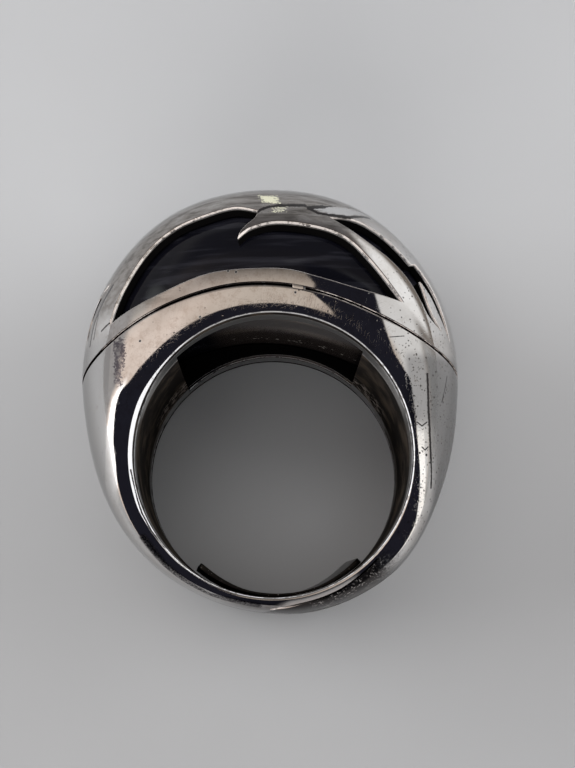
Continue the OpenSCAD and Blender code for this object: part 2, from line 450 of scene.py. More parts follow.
# %% The silver sheet of the shank
EASE = [-0.12, -0.05, 0.0, 0.05, 0.12]    # mm from the seam's line to the rows that become its eased edge
border = np.array([[1, -1], [1, 1], [-1, 1], [-1, -1]]) * (180 * ARC, SIDE + LIP + BORE)
seam_rows = [at_height(row_beside(seam_flat, away)) for away in EASE]
shank, starts = rows_mesh("silver_shank", [[at_height(border)], seam_rows])
lines_x = np.arange(-178, 180, 2.0) * ARC
half_y = [*np.arange(0.5, 12, 0.5), *np.linspace(12, 13.5, 6), 14.5, 15.5, 16.5]
lines_y = [sign * y for y in half_y for sign in (-1, 1)]
n = len(seam_flat)
fill_between(shank, [(starts[0][0], 4), (starts[1][0], n)], lines_x, [*lines_y, 0])
fill_between(shank, [(starts[1][-1], n)], lines_x, [0, *np.arange(-10, 11, 1.0)])
flat = points_of(shank)
rolled = roll_up(flat[:, :2])
eased = [rolled[starts[1][k]:starts[1][k] + n] for k in range(5)]
for k, t in ((1, 0.3), (2, 0.5), (3, 0.7)):
    rolled[starts[1][k]:starts[1][k] + n] = (1 - t) ** 2 * eased[0] + 2 * t * (1 - t) * eased[2] + t * t * eased[4]
set_points(shank, rolled)
face_out(shank, 2e-4)
tell(shank)

# %% [markdown]
# ## The stone
# A solid black dome that fills the hollow under the cover and rests on a ledge in the shank. A ball is
# a good start, because both have two ends: its poles go to the stone's two pointed ends, and each of
# its rings is laid along one section of the hollow, over the dome and back along the arched underside.

# %% A ball laid along the sections
def filled_dome(name, inset, drop, segments=96, rings=64):
    """A solid inside the form made smaller by the inset, above the seam lowered by the drop."""
    right, left = seam_end(1, drop, inset), seam_end(-1, drop, inset)
    ball = start_piece(name, bpy.ops.mesh.primitive_uv_sphere_add, segments=segments, ring_count=rings, radius=1)
    p = points_of(ball)
    a = (right + left) / 2 + (right - left) / 2 * np.clip(p[:, 2], -1, 1)
    around = np.mod(np.arctan2(p[:, 1], p[:, 0]), 2 * np.pi) / np.pi
    around = np.where(np.abs(around - 2) < 1e-4, 0, around)
    wall = wall_at(a, inset)
    low = seam_radius(a, drop)
    t = np.clip((low - HOLE_R) / wall, 0, 1)
    q = np.arcsin(t ** (power_at(a) / 2))
    over = 1 - np.abs(1 - 2 * np.clip(around, 0, 1))
    r = np.where(around <= 1, HOLE_R + wall * np.sin(q + (np.pi / 2 - q) * over) ** (2 / power_at(a)), low)
    edge = half_width(np.minimum(low, HOLE_R + wall), a, inset)
    y = np.where(around <= 1, np.sign(2 * around - 1) * half_width(r, a, inset), edge * (3 - 2 * around))
    set_points(ball, on_section(a, r, y))
    face_out(ball)
    return ball


COVER_T, STONE_GAP, LEDGE = 0.6, 0.12, 0.8
stone = filled_dome("black_stone", COVER_T + STONE_GAP, LEDGE - STONE_GAP)
tell(stone)

# %% Seat and window in the shank
WINDOW_SIZE, WINDOW_UP, WINDOW_ROUND = (16.6, 14.4, 9), 11.5, 1.2
cut_away(shank, filled_dome("seat", COVER_T, LEDGE, 64, 48))
window = add_block("window", (0, 0, WINDOW_UP), WINDOW_SIZE)
round_upright_edges(window, WINDOW_ROUND, 6)
cut_away(shank, window)
tell(shank)

# %% [markdown]
# ## The cover
# A pierced silver sheet, 0.6 mm thick, soldered over the stone. Its blades and openings are given as
# bearings and rises seen from a point inside the dome, which is how they were laid out on the solid.
# The sheet is drawn flat round the dome's top, with its openings twice: once for the front and once,
# turned half round, for the back.

# %% The openings' outlines
SPREAD = 0.24                        # mm of flat sheet for each degree down from the dome's top
OPENING_STEP, RIM_STEP = 0.22, 0.3   # mm between the points of an outline
CRESCENT = [
    [[-146, 14.5], [-143.5, 25.5], [-138.5, 38], [-131, 46], [-120, 51.3], [-106, 55.3], [-93.5, 53.5]],
    [[-93.5, 53.5], [-95.3, 50.8], [-98.6, 48.4], [-101.3, 45.8], [-102.2, 43.6]],
    [[-102.2, 43.6], [-96.5, 47], [-85, 48.8], [-70, 46.5], [-58, 41.5], [-50.5, 32.5], [-42.5, 18.5]],
    [[-42.5, 18.5], [-52.5, 23], [-70, 30.5], [-84, 34.3], [-101.5, 34.2], [-116, 31], [-131.5, 23], [-146, 14.5]]]
RIGHT_OPENING = [
    [[-60, 49], [-54, 44], [-47, 37.2], [-42.2, 32.4], [-38, 26.3], [-35.4, 19.5], [-33.2, 14], [-28.3, 10]],
    [[-28.3, 10], [-31.2, 14.5], [-32.2, 20], [-31.8, 25.5]],
    [[-31.8, 25.5], [-29, 21], [-27, 15.5], [-22.8, 7.5]],
    [[-22.8, 7.5], [-23.2, 17], [-25.8, 26], [-28.6, 31.8]],
    [[-28.6, 31.8], [-32.7, 31.1]],
    [[-32.7, 31.1], [-35.6, 36], [-39, 40.4], [-42.8, 44], [-47.2, 46.8], [-53, 48.6], [-60, 49]]]
LEFT_SLOT = [
    [[-154, 29], [-158, 23], [-160.5, 17], [-160.5, 9.5]],
    [[-160.5, 9.5], [-166, 14], [-167, 20], [-162.5, 26], [-154, 29]]]


def on_sheet(bearing, rise):
    far = (90 - rise) * SPREAD
    s, c = sin_cos(bearing)
    return np.column_stack([far * c, far * s])


def opening(edges):
    """An opening's closed outline on the flat sheet, with the metal on its left."""
    sides = []
    for edge in edges:
        line = np.vstack([smooth_line(edge, 16), edge[-1:]])
        sides.append(evenly(on_sheet(*line.T), OPENING_STEP))
    loop = np.vstack(sides)
    return loop[::-1] if area_of(loop) > 0 else loop


SEAM_GAP = 0.14
rim_bearing = np.arange(0, 360, 0.5)
plan = np.column_stack(sin_cos(rim_bearing)[::-1])
rim_far = crossing(np.full(len(plan), 2.0), np.full(len(plan), 18.0),
                   lambda f: level(np.column_stack([plan * f[:, None], seam_height(plan[:, 0] * f) + SEAM_GAP])))
rim_rise = np.degrees(np.arctan2(seam_height(plan[:, 0] * rim_far) + SEAM_GAP - EYE[2], rim_far))
rim = on_sheet(rim_bearing, rim_rise)
rim = evenly(np.vstack([rim, rim[:1]]), RIM_STEP)
front = [opening(edges) for edges in (CRESCENT, RIGHT_OPENING, LEFT_SLOT)]
openings = front + [-loop for loop in front]
print("rim", len(rim), "points; openings", [len(loop) for loop in openings])

# %% Bend the cover
def dome_over(flat):
    """Places of flat points on the dome; a depth below the sheet's face goes in towards the stone."""
    bearing = np.arctan2(flat[:, 1], flat[:, 0])
    rise = np.radians(90 - np.hypot(flat[:, 0], flat[:, 1]) / SPREAD)
    d = np.column_stack([np.cos(rise) * np.cos(bearing), np.cos(rise) * np.sin(bearing), np.sin(rise)])
    reach = crossing(np.full(len(d), 0.5), np.full(len(d), 30.0), lambda s: level(EYE + d * s[:, None]))
    face = EYE + d * reach[:, None]
    edge = np.radians(np.interp(np.degrees(bearing), rim_bearing, rim_rise, period=360))
    near = easing(np.clip(1 - np.degrees(rise - edge) / 8, 0, 1))
    far = np.hypot(face[:, 0], face[:, 1])
    side = np.cos(bearing)

    def inward(e):
        p = face - d * e[:, None]
        f = np.hypot(p[:, 0], p[:, 1])
        p[:, 2] += near * (seam_height(f * side) - seam_height(far * side) - np.tan(edge) * (f - far))
        return p

    full = crossing(np.full(len(d), 3.0), np.zeros(len(d)), lambda e: level(inward(e), COVER_T))
    return inward(full * np.clip(-flat[:, 2] / COVER_T, 0, 1))


# %% The pierced sheet of the cover
def eased_strip(loop, ease):
    """Rows up the wall of an outline and round its eased edge to the sheet's face."""
    rows = [(0, -COVER_T), (0, -0.4), (0, -0.25), (0, -ease)]
    rows += [(ease * (1 - math.cos(q)), -ease * (1 - math.sin(q))) for q in np.radians([22.5, 45, 67.5, 90])]
    return [at_height(row_beside(loop, across), z) for across, z in rows]


RIM_EASE, OPENING_EASE, FILL_STEP = 0.09, 0.13, 0.7
strips = [eased_strip(rim, RIM_EASE)] + [eased_strip(loop, OPENING_EASE) for loop in openings]
cover, starts = rows_mesh("silver_cover", strips)
counts = [len(s[0]) for s in strips]
lines = list(np.arange(-31, 32) * FILL_STEP)
fill_between(cover, [(s[-1], c) for s, c in zip(starts, counts)], lines, lines)
fill_between(cover, [(s[0], c) for s, c in zip(starts, counts)], lines[::2], lines[::2])
set_points(cover, dome_over(points_of(cover)))
face_out(cover)
tell(cover)

# %% [markdown]
# ## The lap
# At the lower right one end of the band runs over the other, and a fine line on the side face parts
# the blade-like lap from the band under it. The line is cut with a thin bent strip, one for each face.

# %% Lap lines
LAP_DEPTH, LAP_WIDTH = 0.3, 0.12
LAP_LINE = [[-8, 10.45], [0, 10.2], [8.5, 10.06], [25, 10.03], [36, 9.9], [45, 9.84]]    # degrees to the right, mm


def lap_cutter(face):
    """A thin bent strip along the lap's line, for the side face towards -Y or +Y."""
    turn = np.linspace(-3.0, 44.0, 48)
    inner = np.interp(turn, *np.transpose(LAP_LINE))
    rows = []
    for t, r in zip(np.radians(turn), inner):
        reach = float(half_width(r, 180 - math.degrees(t)))
        deep, high = face * (reach - LAP_DEPTH), face * (reach + 1.5)
        corners = (r, deep), (r + LAP_WIDTH, deep), (r + LAP_WIDTH, high), (r, high)
        rows.append([(q * math.sin(t), y, -q * math.cos(t)) for q, y in corners])
    cutter, _ = rows_mesh("lap_cutter", [rows])
    edit_all(cutter)
    bpy.ops.mesh.fill_holes(sides=4)
    leave_edit()
    face_out(cutter)
    return cutter


for face in (-1, 1):
    cut_away(shank, lap_cutter(face))
tell(shank)

# %% [markdown]
# ## The solder
# Cover and shank were joined with solder, and at one place in front it has filled the seam to the
# brim. The fill is a short bar that follows the seam and grips both edges, flush with the skin.

# %% A bar in the seam
SOLDER_X, SOLDER_LONG, SOLDER_DEEP, SOLDER_HIGH = 2.1, 0.85, 0.5, SEAM_GAP + 0.30
SOLDER_DROP, SOLDER_SUNK = 0.05, 0.007    # below the seam's middle, and behind the skin
solder = add_block("seam_solder", (SOLDER_X, 0, 0), (SOLDER_LONG, SOLDER_DEEP, SOLDER_HIGH))
edit_all(solder)
bpy.ops.mesh.bevel(offset=0.012, segments=2)
divide_at((1.8, 1.9, 2.0, 2.1, 2.2, 2.3, 2.4))
p = points_of(solder)
height = seam_height(p[:, 0]) + SEAM_GAP / 2 - SOLDER_DROP + p[:, 2]
edge_at = half_width(np.hypot(p[:, 0], height), np.degrees(np.arctan2(p[:, 0], height)))
set_points(solder, np.column_stack([p[:, 0], -edge_at + SOLDER_DEEP / 2 + SOLDER_SUNK + p[:, 1], height]))
face_out(solder)
tell(solder)

# %% [markdown]
# ## The sizing strip
# A jeweller makes a ring smaller by laying a springy strip in the bottom of the hole. It is cut flat
# from thin stock, its corners are rounded, its edges are eased, its middle is thinned so that it
# springs, and it is bent to the hole's curve.

# %% A bent strip
STRIP_R, STRIP_T, STRIP_W = 8.6, 0.4, 7.0
STRIP_HALF_TURN, STRIP_LIFT = 42.0, 0.08
CORNER_ROUND, EDGE_EASE, MIDDLE_THINNED = 0.35, 0.07, 0.5
skew = math.radians(4.0)
middle_r = STRIP_R - STRIP_T / 2
length = math.radians(2 * STRIP_HALF_TURN) * middle_r
strip = add_block("sizing_band", (0, 0, -STRIP_T / 2), (length, STRIP_W, STRIP_T))
round_upright_edges(strip, CORNER_ROUND, 5)
corner, ends = points_of(strip), edge_ends(strip)
select_edges(strip, np.abs(corner[ends[:, 0], 2] - corner[ends[:, 1], 2]) < 1e-4)
bpy.ops.mesh.bevel(offset=EDGE_EASE, segments=3)
divide_at(np.linspace(corner[:, 0].min(), corner[:, 0].max(), 50)[1:-1])
p = points_of(strip)
turn = p[:, 0] / middle_r
thin = 1 - MIDDLE_THINNED * np.clip((0.92 - np.abs(turn) / math.radians(STRIP_HALF_TURN)) / 0.5, 0, 1)
r = STRIP_R + p[:, 2] * thin
x, y = r * np.sin(turn), p[:, 1]
set_points(strip, np.column_stack([x * math.cos(skew) - y * math.sin(skew),
                                   x * math.sin(skew) + y * math.cos(skew),
                                   STRIP_R + STRIP_LIFT - HOLE_R - r * np.cos(turn)]))
face_out(strip)
tell(strip)

# %% [markdown]
# ## Smooth shading
# Polished metal and stone show the least error in a surface's direction. Each corner of a face that
# lies on the form takes the form's own slope, so the many small faces of the sheets shade as one
# curved skin, and only eased edges and cut walls keep the direction of their own faces.

# %% Directions from the form
FAR = 2                          # mm, the longest distance that the finishes need
SMOOTH_BELOW = math.radians(34)
ON_SKIN, IN_BORE = 4e-4, 2e-3    # how near a corner lies to the form's skin, and to the hole's wall in mm
FACING = 0.9                     # how well its face agrees with the form's direction


def keep_on_mesh(piece, name, distance):
    """A distance for each point, kept on the mesh for the finishes."""
    layer = piece.data.attributes.new(name, "FLOAT", "POINT")
    layer.data.foreach_set("value", np.clip(distance, 0, FAR).astype(np.float32))


def under_the_skin(p):
    """How far points lie under the form's skin, in mm."""
    rate = (level(p + slope(p) * 1e-3) - level(p)) * 1e3
    return -level(p) / np.maximum(rate, 0.05)


def shade(piece, inset=None, bore=False):
    """Smooth shading, with the form's own slope on the form and the hole's round wall in the bore."""
    pick(piece)
    bpy.ops.object.shade_smooth_by_angle(angle=SMOOTH_BELOW)
    if inset is None:
        return
    mesh = piece.data
    corner = numbers(mesh.corner_normals, "vector", 3).astype(float)
    flat = np.repeat(numbers(mesh.polygons, "normal", 3), numbers(mesh.polygons, "loop_total", kind=np.int32), 0)
    p = points_of(piece)[numbers(mesh.loops, "vertex_index", kind=np.int32)]
    n = slope(p, inset)
    on_form = (np.abs(level(p, inset)) < ON_SKIN) & (np.sum(n * flat, 1) > FACING)
    corner[on_form] = n[on_form]
    if bore:
        inward = -p / np.maximum(np.hypot(p[:, 0], p[:, 2]), 1e-6)[:, None]
        inward[:, 1] = 0
        in_bore = (np.abs(np.hypot(p[:, 0], p[:, 2]) - HOLE_R) < IN_BORE) & (np.sum(inward * flat, 1) > FACING)
        corner[in_bore] = inward[in_bore]
    mesh.normals_split_custom_set(corner.tolist())
    print(piece.name, "corners on the form:", int(on_form.sum()), "of", len(corner))


for piece, lift in ((cover, SEAM_GAP), (shank, 0.0)):
    p = points_of(piece)
    keep_on_mesh(piece, "depth", under_the_skin(p))
    keep_on_mesh(piece, "seam", np.abs(p[:, 2] - seam_height(p[:, 0]) - lift))
keep_on_mesh(solder, "seam", np.full(len(solder.data.vertices), FAR))
shade(cover, 0.0)
shade(shank, 0.0, bore=True)
shade(stone, COVER_T + STONE_GAP)
shade(strip)
shade(solder)

# %% Lay the ring down on its side
for piece, node, slot in ((shank, "shank", "silver"), (cover, "cover", "silver"), (stone, "stone", "black_stone"),
                          (strip, "sizing_strip", "strip_metal")):
    piece.data.transform(LAY_DOWN)
    piece.data.update()
    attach(piece, "root")
    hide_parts(node)
    p = points_of(piece)
solder.data.transform(LAY_DOWN)
solder.data.update()
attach(solder, "root")

# %% [markdown]
# ## Finishes
# Each finish is a set of nodes. Writing them as sums and products keeps them readable, so a small class
# stands for a socket and turns arithmetic into Math, Vector Math and Mix nodes.

# %% A socket that can be added and multiplied
class Wire:
    """One output of a node, used in sums. Colours and vectors go through Vector Math or Mix."""

    def __init__(self, tree, socket):
        self.tree, self.socket = tree, socket

    def node(self, kind, settings=None, **inputs):
        return add_node(self.tree, kind, settings, **inputs)

    def _sum(self, operation, a, b):
        if any(isinstance(v, tuple) or isinstance(v, Wire) and v.socket.type in ("VECTOR", "RGBA") for v in (a, b)):
            a, b = ((v,) * 3 if isinstance(v, (int, float)) else v for v in (a, b))
            return self.node("ShaderNodeVectorMath", {"operation": operation}, i0=a, i1=b)
        return self.node("ShaderNodeMath", {"operation": operation}, i0=a, i1=b)

    def __add__(self, other): return self._sum("ADD", self, other)
    def __sub__(self, other): return self._sum("SUBTRACT", self, other)
    def __rsub__(self, other): return self._sum("SUBTRACT", other, self)
    def __mul__(self, other): return self._sum("MULTIPLY", self, other)
    def __truediv__(self, other): return self._sum("DIVIDE", self, other)
    def __pow__(self, other): return self._sum("POWER", self, other)
    def above(self, other): return self._sum("MAXIMUM", self, other)
    def below(self, other): return self._sum("MINIMUM", self, other)
    __radd__, __rmul__ = __add__, __mul__

    def maths(self, operation, *others):
        """Another operation of the Math node, with this number first."""
        return self.node("ShaderNodeMath", {"operation": operation},
                         **{f"i{k}": value for k, value in enumerate((self, *others))})

    def step(self, low, high):
        """0 below low, 1 above high, smooth between; low may be the larger."""
        out = self.node("ShaderNodeMapRange", {"interpolation_type": "SMOOTHSTEP"},
                        Value=self, **{"From Min": min(low, high), "From Max": max(low, high)})
        return 1 - out if low > high else out

    def dot(self, other):
        return self.node("ShaderNodeVectorMath", {"operation": "DOT_PRODUCT", "out": "Value"}, i0=self, i1=other)

    def length(self):
        return self.node("ShaderNodeVectorMath", {"operation": "LENGTH", "out": "Value"}, i0=self)

    def part(self, name):
        return self.node("ShaderNodeSeparateXYZ", {"out": name}, Vector=self)

    def mixed(self, other, amount):
        """This colour turned towards another by an amount."""
        return self.node("ShaderNodeMix", {"data_type": "RGBA", "out": 2}, i0=amount, i6=self, i7=other)


def add_node(tree, kind, settings=None, **inputs):
    """Any node: its settings, its socket values or links, and one of its outputs back as a Wire."""
    node = tree.nodes.new(kind)
    settings = settings or {}
    for name, value in settings.items():
        if name != "out":
            setattr(node, name, value)
    for name, value in inputs.items():
        socket = node.inputs[int(name[1:])] if name[0] == "i" and name[1:].isdigit() else node.inputs[name]
        if isinstance(value, Wire):
            tree.links.new(value.socket, socket)
        elif socket.type == "RGBA" and isinstance(value, tuple) and len(value) == 3:
            socket.default_value = (*value, 1)
        else:
            socket.default_value = value
    return Wire(tree, node.outputs[settings.get("out", 0)]) if node.outputs else None


def noise(where, scale, detail=2.0, rough=0.5, twist=0.0):
    return where.node("ShaderNodeTexNoise", Vector=where, Scale=scale, Detail=detail, Roughness=rough,
                      Distortion=twist)


def new_finish(name):
    finish = bpy.data.materials.new(name)
    finish.use_nodes = True
    finish.node_tree.nodes.clear()
    place = add_node(finish.node_tree, "ShaderNodeTexCoord", {"out": "Object"})
    return finish, place * 1000.0


def fill_finish(finish, normal=None, dull=None, **inputs):
    """The surface shader, with its numbers and links, joined to the output. Dull parts have no gloss."""
    tree = finish.node_tree
    inputs = {name.replace("_", " "): value for name, value in inputs.items()}
    if normal is not None:
        inputs["Normal"] = normal
    surface = add_node(tree, "ShaderNodeBsdfPrincipled", **inputs)
    if dull is not None:
        plain = add_node(tree, "ShaderNodeBsdfPrincipled",
                         **{"Base Color": inputs["Base Color"], "Roughness": 0.9, "Specular IOR Level": 0.0})
        surface = add_node(tree, "ShaderNodeMixShader", i0=dull, i1=surface, i2=plain)
    add_node(tree, "ShaderNodeOutputMaterial", Surface=surface)


BUMP_M = 0.00001    # how high a bump of 1 stands, in metres


def bump(height, strength, distance):
    return height.node("ShaderNodeBump", Height=height, Strength=strength, Distance=distance)


def wear(piece, finish):
    piece.data.materials.clear()
    piece.data.materials.append(finish)
    print(piece.name, "wears", finish.name, "with", len(finish.node_tree.nodes), "nodes")


# %% [markdown]
# ## The camera
# The photograph looks almost straight down at the ring, from about ten centimetres. The camera is set
# in the ring's own upright frame and laid down with it. It comes before the finishes, because the marks
# of wear and the painted highlights, sheen and dark reflections are placed through it.

# %% Camera
YAW, PITCH, ROLL = math.radians(0.94), math.radians(9.61), math.radians(-2.0)
RING_EYE = np.array([-0.38, -100, -10.8])    # mm, in the upright ring's frame
PICTURE_W, PICTURE_H, FOCAL = 575, 768, 1371    # all in pixels
SENSOR = 36                                     # mm
ahead = Vector((math.sin(YAW) * math.cos(PITCH), math.cos(YAW) * math.cos(PITCH), math.sin(PITCH)))
side = Vector((math.cos(YAW), -math.sin(YAW), 0))
top = side.cross(ahead)
side, top = side * math.cos(ROLL) + top * math.sin(ROLL), top * math.cos(ROLL) - side * math.sin(ROLL)
ring_axes = [np.array(v) for v in (side, top, ahead)]
turned = LAY_DOWN.to_3x3() * 1000
side, top, ahead = (turned @ v for v in (side, top, ahead))
eye = LAY_DOWN @ Vector(RING_EYE)
lens = bpy.data.cameras.new("camera")
lens.lens, lens.sensor_width = FOCAL / PICTURE_H * SENSOR, SENSOR
lens.clip_start, lens.clip_end = 0.005, 20
camera = bpy.data.objects.new("camera", lens)
camera.matrix_world = Matrix.Translation(eye) @ Matrix((side, top, -ahead)).transposed().to_4x4()
bpy.context.collection.objects.link(camera)
bpy.context.scene.camera = camera
print("camera at", [round(c * 1000, 1) for c in eye], "mm, looking", [round(c, 3) for c in ahead])

# %% [markdown]
# ## Where the marks lie
# The ring shows wear: there are scratches, pits and grooves at places of their own, and the painted
# highlights, sheen and dark reflections have places of their own too. Each is noted as spots of the 575 by
# 768 picture. A ray from the camera through a spot meets the form at the mark's place, which is fixed on
# the ring from then on, seen from any side.

# %% From a spot of the picture to a place on the ring
def on_ring(spots):
    """Places on the laid-down ring, in mm, under spots of the picture."""
    spots = np.array(spots, float)
    right, down = (spots - (PICTURE_W / 2, PICTURE_H / 2)).T[:, :, None] / FOCAL
    ray = ring_axes[2] + right * ring_axes[0] - down * ring_axes[1]
    ray /= np.linalg.norm(ray, axis=1)[:, None]
    far = np.linspace(80, 118, 761)
    depth = level(RING_EYE + ray[:, None] * far[None, :, None])
    first = np.where((depth < 0).any(1), (depth < 0).argmax(1), depth.argmin(1)).clip(1)
    reach = crossing(far[first], far[first - 1], lambda d: level(RING_EYE + ray * d[:, None]), 24)
    place = RING_EYE + ray * reach[:, None]
    return [tuple((LAY_DOWN @ Vector(p)) * 1000) for p in place]


print("the seam's solder spot lies at", [round(c, 2) for c in on_ring([(299, 287.6)])[0]])

# %% Places and strokes in a finish
ALONG, TO_DOME = tuple(turned.col[1]), tuple(turned.col[2])


def ring_places(mm):
    """Across, along the hole, towards the dome, and distance from the hole's axis, in mm."""
    q = mm - (0.0, REST_SHIFT, REST_HEIGHT)
    along = q.dot(ALONG)
    return q.part("X"), along, q.dot(TO_DOME), (q - along * ALONG).length()


def stroke(mm, spots, width, rag=0.0):
    """1 along a line through spots of the picture, or on a single spot, and 0 beyond the width."""
    places, nearest = on_ring(spots), None
    for a, b in zip(places, places[1:] or places):
        away, run = mm - a, tuple(end - start for start, end in zip(a, b))
        if a != b:
            part = (away.dot(run) / sum(v * v for v in run)).above(0.0).below(1.0)
            away = away - part * run
        gap = away.length()
        nearest = gap if nearest is None else nearest.below(gap)
    return (nearest + rag * width).step(width, width * 0.45)


def patch(mm, corners, rag, soft):
    """1 inside a patch whose corners are spots of the picture, in clockwise order, with a ragged edge."""
    places = [Vector(p) for p in on_ring(corners)]
    middle = sum(places, Vector()) / len(places)
    a, b, c = (places[len(places) * i // 3] for i in range(3))
    skin = (b - a).cross(c - a).normalized()
    inside = (mm - tuple(middle)).length().step(3.2, 3.1)
    for a, b in zip(places, places[1:] + places[:1]):
        inward = skin.cross(b - a).normalized()
        inside = inside * ((mm - tuple(a)).dot(tuple(inward)) + rag).step(0.0, soft)
    return inside


def between(amount, low, high):
    """A colour between two others."""
    return amount.node("ShaderNodeMix", {"data_type": "RGBA", "out": 2}, i0=amount, i6=low, i7=high)


def total(parts):
    """The sum of masks, at most 1. A long row comes as a generator: Cycles has room for few masks at once."""
    result = None
    for part in parts:
        result = part if result is None else result + part
    return 0.0 if result is None else result.below(1.0)


print("along the hole is", [round(c, 3) for c in ALONG], "and to the dome", [round(c, 3) for c in TO_DOME])

# %% [markdown]
# ## Silver
# One finish serves shank and cover, with the marks of each: cut walls are blackened with oxide, the seam
# has a brown edge, clouds of thin tarnish dull the skin, the flanks are matt from fine scratches, and small
# pits are scattered over them. Light and shade are painted in as well: highlights on the hole's edge, the
# openings' edges and the dome's top, a lighter sheen on one blade, shade in the hole with glints on its far
# wall, darker flanks, and dark reflections at the bottom, on the lower left and beside the hole's left edge.
# The strokes only colour the skin: with them in the bump too, the cover's finish has more nodes than Cycles
# can hold, and the cover renders all black.

# %% Silver, for one piece with its own marks
def cells(where, scale):
    """Distance to the nearest of many scattered points, and a random number for each."""
    near = where.node("ShaderNodeTexVoronoi", {"feature": "F1", "out": "Distance"}, Vector=where, Scale=scale)
    colour = Wire(near.tree, near.socket.node.outputs["Color"])
    return near, colour.node("ShaderNodeSeparateColor", Color=colour)


def hairlines(mm, direction, seed):
    """Fine straight scratches along a direction, each only a few millimetres long."""
    d = Vector(direction).normalized()
    a = d.cross(Vector((0.3, 0.2, 0.93))).normalized()
    b = d.cross(a)
    spread = mm.node("ShaderNodeCombineXYZ", X=mm.dot(tuple(d * 0.22)) + seed,
                     Y=mm.dot(tuple(a * 5.0)), Z=mm.dot(tuple(b * 5.0)))
    wave = noise(spread, 1.0, 1.0, 0.5)
    here = noise(mm + seed, 0.45, 2.0).step(0.46, 0.6)
    return (wave - 0.5).maths("ABSOLUTE").step(0.018, 0.004) * here


SPOT_R, LOW_DARK_REFLECTION_R = 0.12, 0.36    # mm
# corners of a painted dark reflection beside the hole's left edge
LEFT_DARK_REFLECTION = [(113, 341), (124, 336), (127, 352), (122, 388), (114, 386)]


